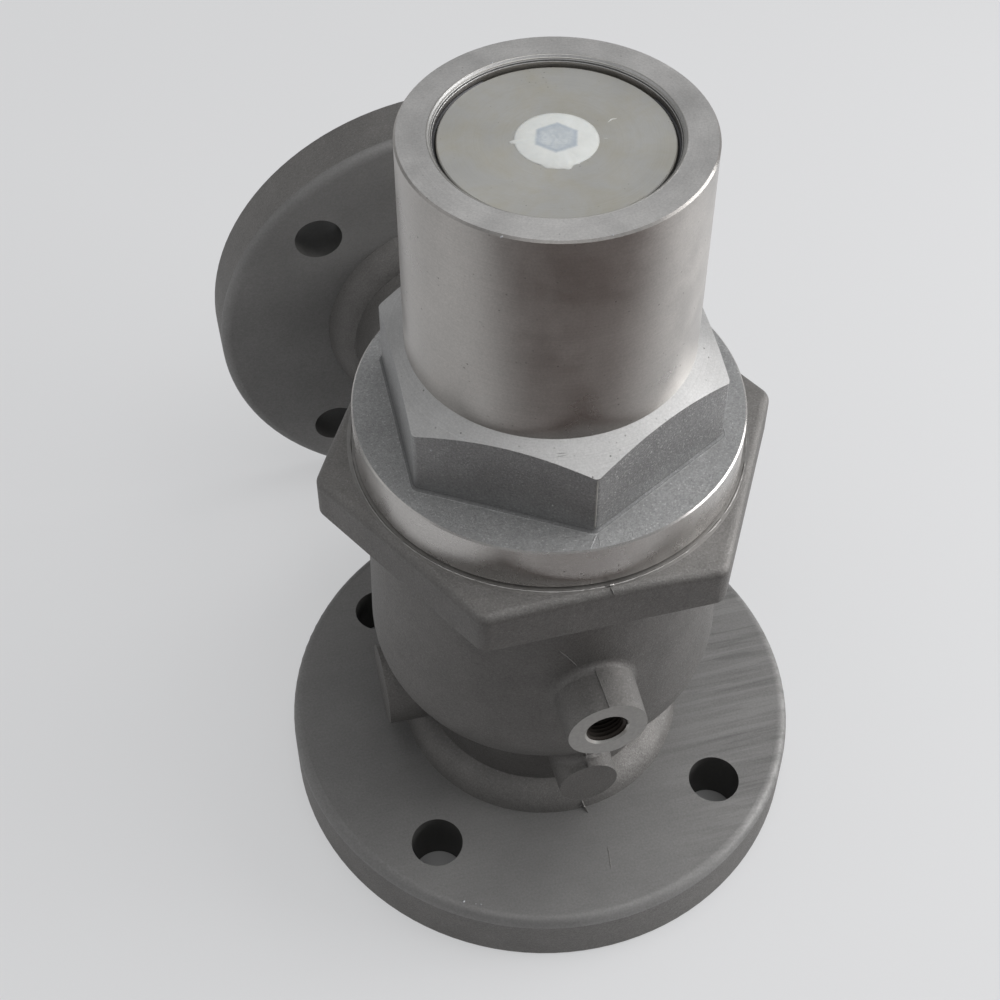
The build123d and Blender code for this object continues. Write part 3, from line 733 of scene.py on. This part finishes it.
def scatter(name, skin, count, wanted, seed):
    """Places for lumps, spread evenly over the outward skin that has the wanted finish."""
    random.seed(seed)
    mesh = nodes[name].data
    slots = [index for index, material in enumerate(mesh.materials) if material.name in wanted]
    faces = [face for face in mesh.polygons if face.material_index in slots]
    picked = random.choices(faces, weights=[face.area for face in faces], k=count * 3)
    spots = []
    for face in picked:
        shares = [random.random() + 0.01 for _ in face.vertices]
        parts = (mesh.vertices[v].co * share for v, share in zip(face.vertices, shares))
        place = sum(parts, Vector()) / sum(shares)
        if skin.ray_cast(place + face.normal * MM, face.normal)[0] is None and len(spots) < count:
            size = random.uniform(0.22, 0.5)
            spots.append((place / MM, size, size * random.uniform(0.25, 0.5)))
    return spots


def make_round_ridge(name, radius, height, profile, uneven, frequency, material, slot, burr=None):
    """A ring about the axis, in millimetres; profile gives steps outward and up, uneven roughens them.

    A burr is the direction and half width, in degrees, and the height of one raised spot.
    """
    verts, steps = [], 540
    for step in range(steps):
        angle = tau * step / steps
        way = Vector((cos(angle), sin(angle), 0))
        rough = uneven * noise.noise(way * frequency) + 0.5 * uneven * noise.noise(way * frequency * 4.3)
        if burr:
            middle, width, rise = burr
            rough += rise * max(0, 1 - angle_between(angle, radians(middle)) / radians(width))
        for out, up in profile:
            place = way * (radius + out + (rough * 0.6 if up > 0 else 0)) * MM
            verts.append((place.x, place.y, (height + up + (rough if up > 0 else 0)) * MM))
    faces = grid_faces(steps, len(profile), closed_rows=True, closed_columns=True)
    return add_piece(name, verts, faces, material, smooth=False)


# Heights in millimetres, the unit of all marks
seat_mm, ring_top_mm, top_mm = seat_z / MM, ring_top_z / MM, bonnet_top_z / MM
cover_mm = top_mm - cover_recess / MM

lip_profile = ((-0.4, -0.08), (-0.2, 0.08), (0.0, 0.16), (0.2, 0.08), (0.4, -0.08))
mouth_profile = ((-0.22, -0.05), (-0.05, 0.07), (0.12, 0.05), (0.25, -0.05))
cut_profile = ((-0.14, -0.2), (-0.1, 0.09), (0.06, 0.19), (0.16, 0.02))
round_marks = (
    ("seat_lip", 62.2, seat_mm, lip_profile, 0.3, 9, "machined", "body_casting", (-88.7, 1.3, 0.9)),
    ("mouth_burr", 34.85, top_mm, mouth_profile, 0.03, 14, "bright_cut", "bonnet_casting"),
    ("mouth_cut_mark", 34.15, top_mm - 0.75, cut_profile, 0.02, 10, "bright_cut", "bonnet_casting"),
    ("lower_cut_mark", 33.75, top_mm - 1.3, cut_profile, 0.02, 12, "hole_shade_and_dark_marks", "bonnet_casting"),
)
for mark in round_marks:
    make_round_ridge(*mark)

corner_radius, corner_turn = 54.6, radians(-91.5)
corner_x, corner_y = corner_radius * cos(corner_turn), corner_radius * sin(corner_turn)
hex_corner = [(corner_x, corner_y, ring_top_mm + rise) for rise in (1.3, 11, 22.6)]
bonnet_ridges = (
    ("hex_corner_line", hex_corner, 0.55, 0.22, "bright_cut"),
    (
        "ring_top_mark_0",
        ((-1.1, -55.6, ring_top_mm), (-2.6, -57.6, ring_top_mm), (-4.4, -60.2, ring_top_mm)),
        0.5,
        0.16,
        "ring_casting",
    ),
    (
        "ring_top_mark_1",
        ((-0.9, -55.8, ring_top_mm), (-1.0, -58.2, ring_top_mm), (-1.6, -60.4, ring_top_mm)),
        0.45,
        0.14,
        "ring_casting",
    ),
    ("chamfer_scratch_0", ((-11.2, -45.9, 214.4), (-8.2, -46.5, 214.4)), 0.22, 0.05, "hole_shade_and_dark_marks"),
    ("chamfer_scratch_1", ((-11.5, -46.7, 213.9), (-8.6, -47.0, 214.0)), 0.22, 0.05, "hole_shade_and_dark_marks"),
)
for name, path, width, height, material in bonnet_ridges:
    make_ridge(name, bonnet_skin, path, width, height, material)
body_ridges = (
    ("wall_flash", ((-11.7, -56.8, 135.3), (-8.8, -57.3, 131.3), (-5.5, -57.7, 125.8)), 0.5, 0.14),
    ("blank_boss_seam", ((0, -50.0, 68.3), (0, -56.3, 68.6), (0, -61.8, 69.4)), 0.7, 0.5),
    ("boss_foot_flash", ((2.0, -46.4, 24.0), (2.4, -49.0, 23.2), (3.4, -53.1, 23.0)), 1.0, 0.9),
    ("boss_foot_flash_left", ((2.2, -47.6, 23.6), (0.6, -49.6, 23.0)), 0.8, 0.5),
    ("flange_scratch", ((6.3, -67.0, 23.0), (5.9, -71.0, 23.0), (5.0, -76.0, 23.0)), 0.5, 0.1),
    ("collar_burr", ((1.4, -62.6, seat_mm), (1.9, -64.4, seat_mm), (2.2, -66.0, seat_mm - 1)), 0.7, 0.45),
)
for name, path, width, height in body_ridges:
    make_ridge(name, body_skin, path, width, height, "casting")
cover_ridges = (
    ("cover_drip", ((15.4, 3.6, cover_mm), (16.8, 4.6, cover_mm), (18.2, 4.6, cover_mm)), 0.5, 0.2),
    ("cover_drip_front", ((12.3, -2.7, cover_mm), (13.4, -3.0, cover_mm)), 0.4, 0.15),
)
for name, path, width, height in cover_ridges:
    make_ridge(name, cover_skin, path, width, height, "poured_seal")

rim_chips = (
    ((-47.3, -75.0, 22.0), 0.55, 0.3),
    ((-41.9, -77.5, 22.0), 0.4, 0.25),
    ((-43.6, -76.9, 21.8), 0.25, 0.2),
)
cap_chips = (
    ((-44.9, -31.8, 206), 0.5, 0.25),
    ((-9.1, 34.2, top_mm), 0.35, 0.15),
    ((-24.8, -36.6, top_mm), 0.4, 0.2),
    ((2.4, -43.0, top_mm), 0.3, 0.15),
)
make_specks("rim_chips", body_skin, rim_chips, "zinc_steel", seed=4)
make_specks("cap_chips", bonnet_skin, cap_chips, "zinc_steel", seed=5)
body_lumps = scatter("valve_body", body_skin, 90, ("casting",), seed=11)
make_specks("body_lumps", body_skin, body_lumps, "casting", seed=6)
cap_lumps = scatter("bonnet", bonnet_skin, 30, ("hex_casting", "ring_casting"), seed=12)
make_specks("cap_lumps", bonnet_skin, cap_lumps, "ring_casting", seed=7)


# Floor, lamps and world


def add_plane(name, corners, material):
    """A flat four-cornered piece of the stage."""
    mesh = bpy.data.meshes.new(name)
    mesh.from_pydata(corners, [], [(0, 1, 2, 3)])
    mesh.materials.append(material)
    plane = bpy.data.objects.new(name, mesh)
    bpy.context.collection.objects.link(plane)
    return plane


def make_floor():
    """A plain pale floor; what the camera and reflections see of it is evened out, more so far off."""
    s = Shader("floor")
    fade_from, fade_to = 0.5, 1.1
    lamplit, near_shown, far_shown = (0.5, 0.5, 0.5, 1), (0.34, 0.34, 0.345, 1), (0, 0, 0, 1)
    near_glow, far_glow = 0.435, 0.68
    path = s.add("ShaderNodeLightPath").outputs
    mirrored = s.math("MAXIMUM", path["Is Glossy Ray"], path["Is Transmission Ray"])
    seen = s.math("MAXIMUM", path["Is Camera Ray"], mirrored)
    x, y, _ = s.split()
    reach = s.radius(x, y)
    # Under the flange the floor doesn't glow, so the bolt holes stay dark
    seen = s.math("MULTIPLY", seen, s.remap(reach, flange_radius - 8 * MM, flange_radius - 2 * MM))
    shown = s.mix(s.remap(reach, fade_from, fade_to), near_shown, far_shown)
    glow = s.math("MULTIPLY", seen, s.remap(reach, fade_from, fade_to, near_glow, far_glow))
    s.finish(Emission_Color=(0.985, 0.99, 1.0, 1), Emission_Strength=glow)
    material = s.finish(Base_Color=s.mix(seen, lamplit, shown), Roughness=0.8, Specular_IOR_Level=0.0)
    half, low = 12, -0.2 * MM
    corners = [(-half, -half, low), (half, -half, low), (half, half, low), (-half, half, low)]
    floor = add_plane("floor", corners, material)


def make_dark_card():
    """A dark reddish card before the valve that only reflections see, for the metal to mirror."""
    material = make_plain("dark_card", (0.085, 0.045, 0.035), 0, 0.8)
    near, far, half, height = -0.2, -1.6, 1.1, 1 * MM
    corners = [(-half, near, height), (half, near, height), (half, far, height), (-half, far, height)]
    card = add_plane("dark_card", corners, material)
    card.visible_camera = False
    card.visible_diffuse = False
    card.visible_shadow = False


lit_point = Vector((0, 0, 0.15))


def add_lamp(name, place, size, level):
    """A soft square lamp; level is the light that it gives on a white surface turned to it at the valve."""
    data = bpy.data.lights.new(name, "AREA")
    ahead = lit_point - Vector(place)
    data.size = size
    data.energy = level * (pi * ahead.length) ** 2
    lamp = bpy.data.objects.new(name, data)
    lamp.location = place
    lamp.rotation_euler = ahead.to_track_quat("-Z", "Y").to_euler()
    bpy.context.collection.objects.link(lamp)


def make_world(level, seen):
    """Even pale light from all round; the camera sees it as pale as the floor."""
    world = bpy.data.worlds.new("world")
    world.use_nodes = True
    tree = world.node_tree
    background = tree.nodes["Background"]
    background.inputs["Color"].default_value = (0.97, 0.985, 1.0, 1)
    path = tree.nodes.new("ShaderNodeLightPath")
    strength = tree.nodes.new("ShaderNodeMapRange")
    tree.links.new(path.outputs["Is Camera Ray"], strength.inputs["Value"])
    strength.inputs["To Min"].default_value = level
    strength.inputs["To Max"].default_value = seen
    tree.links.new(strength.outputs["Result"], background.inputs["Strength"])
    bpy.context.scene.world = world


make_floor()
make_dark_card()
make_world(level=0.305, seen=0.68)
for lamp in (
    ("window", (1.2, 0, 0.35), 0.6, 0.35),
    ("front_window", (1.0, -0.38, 0.4), 0.5, 0.36),
    ("ceiling", (0.05, -0.2, 1.6), 1.2, 0.24),
    ("right_ceiling", (0.7, 0.1, 1.4), 0.9, 0.2),
    ("left_wall", (-1.3, 0.1, 0.6), 0.9, 0.05),
):
    add_lamp(*lamp)

bpy.context.scene.view_settings.view_transform = "Standard"
